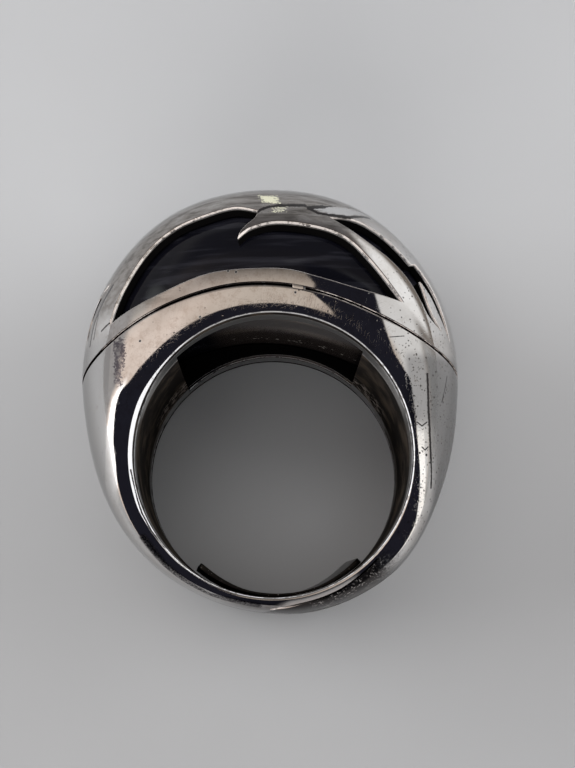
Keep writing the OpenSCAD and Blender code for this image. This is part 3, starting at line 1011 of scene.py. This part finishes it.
def silver_finish(name, dark_strokes, dark_spots, highlight_patches=(), sheen_patches=(), low_dark_reflection_strokes=()):
    """The silver of one piece, with strokes and patches given as spots of the picture and widths in mm."""
    finish, mm = new_finish(name)
    depth, seam = (mm.node("ShaderNodeAttribute", {"attribute_name": layer, "out": "Fac"})
                   for layer in ("depth", "seam"))
    x, along, up, r = ring_places(mm)
    cloud, fine, grain = noise(mm, 0.33, 4.0, 0.6), noise(mm, 1.7, 4.0, 0.65), noise(mm, 7.0, 3.0, 0.6)
    rag = grain - 0.5
    inside = MID_HALF_W + TAPER * up - along.maths("ABSOLUTE")
    bore = r.step(9.6, 9.52)
    streak = noise(mm * (0.35, 1.6, 1.6), 1.3, 4.0, 0.6)
    wide = x.step(-5.5, -8.0) * up.step(-6.0, -3.0) * up.step(7.0, 3.5)
    foot = up.step(-4.0, -8.0) * x.step(-7.0, -4.0)
    from_lip = inside - wide * 0.5
    # painted highlights on the hole's edge (lip) and the openings' eased edges (edge), painted shade in the hole
    # (black) with a grey band by its edges, the oxide-blackened cut walls (recess), and the fields of the skin
    lip = ((r - wide * 0.20 + foot * 0.03).step(9.63, 9.60) * r.step(9.535, 9.555)
           * (0.35 + 0.65 * (fine + wide * 0.2 - foot * 0.03).step(0.42, 0.5)))
    lip = lip + (r.step(9.555, 9.535) * from_lip.step(0.2, 0.5) * from_lip.step(1.2, 0.7) * fine.step(0.35, 0.55)
                 * up.step(7.0, 4.0) * 0.35)
    lip = lip * (1 - 0.6 * (up + x * 0.12).step(6.4, 7.6))
    # painted shade: the hole's wall is painted near black, except a grey band by each edge that fades into the shade
    # towards the bottom
    strip_in_bore = bore * from_lip.step(0.65, 0.8) * inside.step(2.9, 2.3) * (0.12 + 0.88 * up.step(2.0, 7.0))
    black = r.step(9.56, 9.53) * (1 - strip_in_bore)
    recess = depth.step(0.15, 0.24) * (1 - r.step(9.80, 9.74))
    # painted highlight along the eased edges of the openings, faint along the seam except towards its ends
    edge = (depth.step(0.012, 0.035) * depth.step(0.17, 0.12) * (1 - r.step(9.9, 9.8))
            * (0.4 + 0.6 * fine.step(0.4, 0.5)))
    edge = (edge * (0.2 + 0.8 * total([seam.step(0.18, 0.3), x.step(2.5, 4.0), x.step(-7.0, -8.5)]))
            * x.step(-11.8, -11.3))
    flank = x.step(7.0, 10.0)
    # painted shade: matt, outer and shaded pick the flanks that are painted darker below; matt and outer are also
    # rougher from fine scratches
    matt = x.step(10.4, 11.4) * up.step(7.0, 4.0)
    outer = (inside + x.step(-9.0, -10.5) * 0.6).step(2.0, 3.2) * up.step(4.0, 1.0)
    outer = outer.above((x - up * 0.08).step(-11.4, -11.55) * up.step(9.5, 7.5))
    shaded = x.step(6.5, 8.0) * up.step(-1.5, -3.5) * inside.step(1.3, 2.0)
    # marks at places of their own: dark strokes and spots, and the painted highlights, sheen and dark reflections
    dark_strokes = dark_strokes + [([spot], SPOT_R) for spot in dark_spots]
    marks = total(stroke(mm, spots, width, rag) for spots, width in dark_strokes)
    # painted highlights on the dome's top
    lights = (total(patch(mm, spots, rag * 1.6, 0.12) for spots in highlight_patches)
              * (0.5 + 0.5 * streak.step(0.38, 0.5)))
    # painted sheen: a lighter leaf on the dome's top
    pale = total(patch(mm, spots, rag * 0.8, 0.12) for spots in sheen_patches)
    # painted dark reflection along the lower left of the band
    low_dark_reflection = total(stroke(mm, spots, LOW_DARK_REFLECTION_R, rag * 0.8) for spots in low_dark_reflection_strokes)
    # painted dark reflection beside the hole's left edge
    left_dark_reflection = patch(mm, LEFT_DARK_REFLECTION, rag * 1.2, 0.2) * fine.step(0.72, 0.48)
    # scattered pits and hairlines
    near, chance = cells(mm, 4.2)
    near_face = 0.25 + 0.75 * inside.step(6.5, 4.0)
    pits = (near.step(0.36, 0.14) * (chance + flank * near_face * 0.42).step(0.90, 0.94) * fine.step(0.42, 0.52)
            * (0.4 + flank * 0.5))
    pits = pits + flank * near_face * up.step(9.0, 6.0) * grain.step(0.58, 0.66) * fine.step(0.45, 0.6) * 0.7
    lines = hairlines(mm, (0.2, 1.0, 0.1), 3.0) + hairlines(mm, (0.9, 0.5, -0.3), 11.0) * 0.7
    # the blade of the lap, outside its line on both side faces
    low = x.maths("ARCTAN2", up * -1.0)
    line = 10.1 + low.step(0.12, -0.14) * 0.37 - low.step(0.45, 0.78) * 0.3
    beyond = r - line
    blade = beyond.step(0.02, 0.07) * low.step(-0.16, -0.08) * (low + rag * 0.3).step(0.92, 0.68)
    blade = blade * total([inside.step(3.0, 2.0), (low + rag * 0.2).step(-0.1, 0.3)])
    flecks = blade * grain.step(0.57, 0.62) * fine.step(0.42, 0.5) * low.step(0.15, 0.35)
    ridge = (beyond.step(-0.40, -0.04) * beyond.step(0.03, 0.0) * low.step(-0.05, 0.1) * low.step(0.62, 0.45)
             * inside.step(3.5, 2.5))
    dome = up.step(11.0, 15.0) * x.step(8.0, 4.0) * near_face

    # the colour, from the wide fields to the small marks
    skin = between(cloud.step(0.35, 0.7), (0.90, 0.885, 0.87), (0.80, 0.77, 0.74))
    mottle = fine.step(0.42, 0.62) * (0.4 + 0.6 * grain.step(0.4, 0.6)) * up.step(-2.0, 4.0) * x.step(8.0, 6.0)
    skin = skin.mixed((0.60, 0.53, 0.49), mottle * 0.4)
    # painted shade: the outer flanks and left edge painted darker, a band and the edge on the right darker still, the
    # lower right darkest
    skin = skin.mixed((0.68, 0.67, 0.66), outer)
    skin = skin.mixed((0.48, 0.47, 0.465), x.step(8.9, 9.5) * up.step(7.0, 6.0) * up.step(1.0, 2.4))
    skin = skin.mixed((0.42, 0.415, 0.41), matt)
    skin = skin.mixed((0.24, 0.235, 0.23), shaded)
    skin = skin.mixed((0.42, 0.39, 0.365), x.step(-5.0, -8.0) * up.step(9.6, 11.0) * near_face
                      * (0.55 + 0.45 * streak.step(0.4, 0.6)))
    skin = skin.mixed((0.42, 0.395, 0.37), dome * (0.5 + 0.5 * streak.step(0.30, 0.55)))
    skin = skin.mixed((0.17, 0.155, 0.14), dome * streak.step(0.50, 0.66) * 0.7)
    # painted dark reflection along the bottom of the band
    skin = skin.mixed((0.22, 0.20, 0.195), (up + (cloud - 0.5) * 1.5).step(-9.2, -10.3)
                      * (0.7 + 0.3 * fine.step(0.35, 0.65)))
    skin = skin.mixed((0.5, 0.44, 0.38), fine.step(0.56, 0.74) * 0.3)
    skin = skin.mixed((0.055, 0.034, 0.028), seam.step(0.10, 0.04) * fine.step(0.25, 0.45))
    skin = skin.mixed((0.06, 0.05, 0.045), total([pits, lines * 0.12]))
    skin = skin.mixed((0.045, 0.04, 0.04), blade * 0.95)
    skin = skin.mixed((0.5, 0.47, 0.45), flecks)
    skin = skin.mixed((0.36, 0.33, 0.32), ridge)
    # painted dark reflection beside the hole's left edge
    skin = skin.mixed((0.20, 0.185, 0.21), left_dark_reflection)
    # painted dark reflection along the lower left of the band
    skin = skin.mixed((0.07, 0.065, 0.07), low_dark_reflection * (0.55 + 0.45 * grain.step(0.35, 0.6)))
    # painted highlight on the eased edges
    skin = skin.mixed((0.95, 0.87, 0.82), edge)
    # painted shade in the hole: a grey band by each edge, the rest near black with brown tarnish clouds
    skin = skin.mixed((0.50, 0.49, 0.48), strip_in_bore)
    skin = skin.mixed((0.018, 0.016, 0.015), black)
    skin = skin.mixed((0.06, 0.048, 0.038), black * cloud.step(0.42, 0.68))
    # painted glints: a lighter streak on the hole's far wall
    far_wall_glints = along.step(2.0, 3.5) * along.step(8.0, 6.5) * up.step(3.5, 5.0)
    skin = skin.mixed((0.30, 0.26, 0.23), black * far_wall_glints * fine.step(0.46, 0.62) * 0.8)
    skin = skin.mixed((0.003, 0.0028, 0.0028), recess)
    # painted highlight: the hole's edge, and a second line just inside it
    skin = skin.mixed((0.95, 0.95, 0.97), lip)
    # painted sheen on the leaf at the dome's top
    skin = skin.mixed((0.62, 0.62, 0.62), pale)
    # painted highlights on the dome's top
    skin = skin.mixed((0.90, 0.89, 0.66), lights)
    skin = skin.mixed((0.015, 0.013, 0.013), marks)
    metal = 1 - total([lip * 0.9, lights * 0.85, marks, edge * 0.6, flecks * 0.4, ridge * 0.7, pale * 0.45])
    rough = (0.02 + cloud.step(0.4, 0.7) * 0.03 + matt * 0.16 + outer * 0.12 + blade * 0.25 + dome * 0.14
             + lip * 0.2 + (left_dark_reflection + low_dark_reflection) * 0.25)
    height = (fine * 0.03 + flank * grain * 0.12 + dome * streak * 0.2 - pits * 0.4 - lines * 0.03
              + blade * grain * 0.5)
    fill_finish(finish, normal=bump(height, 1.0, BUMP_M), dull=total([black, recess]),
                Base_Color=skin, Metallic=metal, Roughness=rough, Specular_Tint=(0.70, 0.70, 0.70))
    return finish


# %% The marks of the shank and of the cover
shank_silver = silver_finish(
    "silver_of_shank",
    [([(427.3, 374), (428.5, 410), (430.5, 450), (431, 487.5)], 0.14), ([(447, 376.5), (442, 402)], 0.07),
     ([(417, 422), (422, 426), (427, 422)], 0.06), ([(422, 447), (425, 450), (428, 447)], 0.06),
     ([(390, 337), (404, 336)], 0.05),
     ([(130.8, 470), (137.8, 500.4), (142, 513), (151.2, 530.6), (164.3, 546.9), (179.4, 561.9),
       (209.6, 583.2)], 0.09)],
    [(295.4, 292.3), (200, 317), (140, 341), (426.5, 455)],
    # painted dark reflection along the lower left of the band
    low_dark_reflection_strokes=[[(143, 538), (165, 565), (185, 581), (210, 594.5), (235, 601.5), (258, 606)]])
cover_silver = silver_finish(
    "silver_of_cover",
    [([(110, 322.7), (101.5, 331)], 0.10), ([(281, 205.4), (304, 205.4)], 0.30),
     ([(309.6, 207.8), (323, 206.6)], 0.36),
     ([(309.6, 209), (318, 213), (329, 215), (349.6, 217.3), (368.6, 218)], 0.24),
     ([(325, 206.8), (353, 208.2), (370.7, 217.3)], 0.14),
     ([(257.4, 211.8), (262, 209), (270, 206.5), (281, 205.4)], 0.24), ([(385, 245), (403, 259)], 0.06),
     ([(112.5, 286), (102.2, 304), (94, 324.7), (90, 346)], 0.22), ([(98.6, 314.5), (93.8, 339)], 0.10)],
    [(116.5, 318.5), (228, 271), (236, 272), (403.5, 247)],
    # painted highlights on the dome's top
    [[(258.5, 195.5), (276, 195.5), (280.5, 204.5), (263, 202)],
     [(273, 207), (285, 206.5), (286, 211), (272, 211.5)]],
    # painted sheen on the leaf at the dome's top
    [[(310, 208.6), (325, 206.8), (346, 207.6), (370, 217), (349, 216.6), (329, 214.3)]])
wear(shank, shank_silver)
wear(solder, shank_silver)
wear(cover, cover_silver)

# %% [markdown]
# ## Black stone and strip metal
# The stone is onyx: almost black under a high polish, with faint grey layers that run across it and a
# painted soft highlight on its left. Its back, which shows in the hole, is left dull and dark brown, with
# brown arcs painted as reflections and a few painted glints. The strip is a dull springy metal, grey and
# smeared on its inner face and dark on its other faces, with a few bright flecks.

# %% Onyx
onyx, mm = new_finish("black_onyx")
x, along, up, r = ring_places(mm)
layers = noise(mm.node("ShaderNodeCombineXYZ", X=x * 0.10, Y=along * 0.5, Z=up * 1.3), 1.0, 3.0, 0.55, 0.3)
soft = noise(mm, 0.4, 2.0)
stone_colour = between(layers.step(0.46, 0.70), (0.004, 0.004, 0.0065), (0.020, 0.020, 0.026))
stone_colour = stone_colour.mixed((0.035, 0.035, 0.04), layers.step(0.62, 0.66) * layers.step(0.70, 0.66)
                                  * soft.step(0.4, 0.6) * 0.6)
# painted soft highlight on the stone's left
stone_colour = stone_colour.mixed((0.05, 0.053, 0.055), stroke(mm, [(150, 290)], 1.3) * 0.8)
under = r.step(11.3, 11.0) * along.step(-7.4, -7.2) * along.step(7.4, 7.2)
# painted reflections: brown arcs on the stone's back, and painted glints near its far end
arcs = along.step(-4.6, -3.6) * along.step(-1.0, -2.4) + along.step(0.4, 1.2) * along.step(3.0, 2.2) * 0.4
stone_colour = stone_colour.mixed((0.032, 0.026, 0.024), under)
stone_colour = stone_colour.mixed((0.17, 0.14, 0.115), under * arcs * (0.4 + 0.6 * soft.step(0.35, 0.6)))
stone_colour = stone_colour.mixed((0.5, 0.48, 0.44), under * along.step(4.6, 5.0) * along.step(6.0, 5.4)
                                  * noise(mm, 2.2, 2.0).step(0.6, 0.68))
fill_finish(onyx, Base_Color=stone_colour, Roughness=0.06 + noise(mm, 2.5, 3.0) * 0.08,
            IOR=1.45, Specular_IOR_Level=0.32)
wear(stone, onyx)

# %% Strip metal
strip_metal, mm = new_finish("strip_metal")
x, along, up, r = ring_places(mm)
smear, grain = noise(mm * (0.4, 1.5, 1.5), 1.2, 4.0, 0.6), noise(mm, 9.0, 3.0)
inner_face = r.step(8.26, 8.22)
metal = between(smear.step(0.35, 0.65), (0.30, 0.29, 0.28), (0.13, 0.12, 0.115))
metal = metal.mixed((0.035, 0.032, 0.030), 1 - inner_face)
metal = metal.mixed((0.45, 0.44, 0.43), (1 - inner_face) * grain.step(0.66, 0.72))
fill_finish(strip_metal, normal=bump(grain + smear, 0.6, BUMP_M), Base_Color=metal, Metallic=1.0,
            Roughness=0.22 + smear * 0.2)
wear(strip, strip_metal)

# %% [markdown]
# ## Floor and light
# The ring lies on a pale, cool grey table. What polished silver shows is its surroundings, so the world
# is a soft room: a warm ceiling above, white light from the right, a narrow window on the left, and the
# dark shape of whoever stands over the table. Directions are charted round the way back to the camera,
# with x to the right and y towards the dome, as the tangent of half the angle.

# %% Floor
FLOOR_SIZE = 4    # m
floor = start_piece("pale_floor", bpy.ops.mesh.primitive_plane_add, size=FLOOR_SIZE, location=(0, 0, 0))
floor_paint, mm = new_finish("floor_paint")
# painted light falloff: the floor is painted lighter towards +Y and -X, darker towards -Y and +X
painted_falloff = (mm.part("Y") - mm.part("X") * 0.25).step(-24, 26)
paint = between(painted_falloff, (0.375, 0.375, 0.38), (0.52, 0.525, 0.535))
paint = paint.mixed((0.45, 0.45, 0.455), noise(mm, 0.07, 3.0) * 0.4)
fill_finish(floor_paint, normal=bump(noise(mm, 3.0, 2.0), 0.05, 2 * BUMP_M), Base_Color=paint, Roughness=0.3)
wear(floor, floor_paint)

# %% Room
world = bpy.data.worlds.new("room")
bpy.context.scene.world = world
world.use_nodes = True
tree = world.node_tree
tree.nodes.clear()
look = add_node(tree, "ShaderNodeTexCoord", {"out": "Generated"})
towards = (look.dot(tuple(-ahead)) + 1.0001).above(0.01)
x, y = look.dot(tuple(side)) / towards, look.dot(tuple(top)) / towards
rim = (x * x + y * y) ** 0.5
# the dark shape: its top edge, its right edge and a standing part with a wavy side
line = (0.062 - 0.1 * x).below(0.082) - 1.1 * (-0.36 - x).above(0.0) ** 2
outer = (0.121 + 0.0625 * x).below(0.178 + 0.176 * x).below(0.283 + 0.333 * x)
right = (0.182 + 0.9 * y).above(0.17 - 1.6 * y).below(0.62) - y.step(0.070, 0.084) * (0.058 + 0.374 * y)
wave = (y * 62.0).maths("SINE") * 0.004
standing = (x - 0.12 * y + wave).step(0.038, 0.042) * y.step(0.37, 0.35)
under = (line - y).step(0.0, 0.004)
dark = ((under + standing).below(1.0) * (right - x).step(-0.006, 0.006)
        * (rim + x.step(0.2, 0.5) * 0.07).step(0.80, 0.785))
# the ceiling, the white side, and the walls behind the dome
room = between(x.step(0.01, -0.12), (0.51, 0.44, 0.38), (0.76, 0.65, 0.58))
room = room.mixed((0.17, 0.15, 0.135), y.step(0.11, 0.27) * x.step(-0.40, 0.0) * 0.95)
room = room.mixed((0.44, 0.42, 0.40), y.step(0.2, 0.34) * x.step(-0.2, -0.4))
room = room.mixed((0.14, 0.135, 0.14), y.step(0.42, 0.55) * x.step(-0.5, -0.3) * x.step(0.5, 0.35))
room = room.mixed((0.36, 0.36, 0.37), y.step(0.86, 1.0))
room = room.mixed((0.66, 0.655, 0.65), x.step(0.16, 0.24) * x.step(0.75, 0.55) * y.step(0.42, 0.36))
room = room.mixed((0.85, 0.85, 0.85), x.step(0.42, 0.5) * y.step(0.32, 0.42) * rim.step(1.1, 0.95))
room = room.mixed((0.40, 0.40, 0.40), x.step(0.62, 0.75) * y.step(0.34, 0.24))
room = room.mixed((0.34, 0.33, 0.33), x.step(-0.46, -0.60) * (y - outer).step(0.0, 0.03))
bright = (y - line).step(-0.004, 0.0) * (outer - y).step(-0.01, 0.02) * x.step(-0.28, -0.42)
room = room.mixed((1.8, 1.78, 1.8), bright)
room = room.mixed((1.15, 1.13, 1.1), y.step(0.02, -0.02) * (x - right).step(0.0, 0.01) * (x - right).step(0.30, 0.22))
room = room.mixed((0.30, 0.30, 0.30), (0.0 - y).step(0.4, 0.6) * x.step(0.5, 0.3))
room = room.mixed((0.012, 0.012, 0.018), dark)
add_node(tree, "ShaderNodeOutputWorld", Surface=add_node(tree, "ShaderNodeBackground", Color=room, Strength=1.0))
print("the room has", len(tree.nodes), "nodes")

# %% Lamps
def soft_lamp(name, place, size, power, colour):
    """A large soft lamp that lights the scene and isn't mirrored in the metal."""
    lamp = bpy.data.lights.new(name, "AREA")
    lamp.shape, lamp.size, lamp.energy, lamp.color = "DISK", size, power, colour
    holder = bpy.data.objects.new(name, lamp)
    holder.location = place
    holder.rotation_euler = (-Vector(place)).to_track_quat("-Z", "Y").to_euler()
    holder.visible_glossy = False
    bpy.context.collection.objects.link(holder)
    print(name, "of", power, "W,", size, "m across")


soft_lamp("top_light", (-0.12, -0.04, 0.9), 1.1, 3.0, (0.96, 0.98, 1.0))
soft_lamp("left_light", (-0.9, 0.2, 0.42), 0.8, 6.6, (0.95, 0.98, 1.0))
soft_lamp("right_light", (0.95, 0.1, 0.40), 0.8, 6.0, (0.97, 0.98, 1.0))
soft_lamp("front_light", (-0.2, -1.0, 0.40), 0.8, 7.6, (1.0, 0.98, 0.96))
bpy.context.scene.view_settings.view_transform = "Standard"
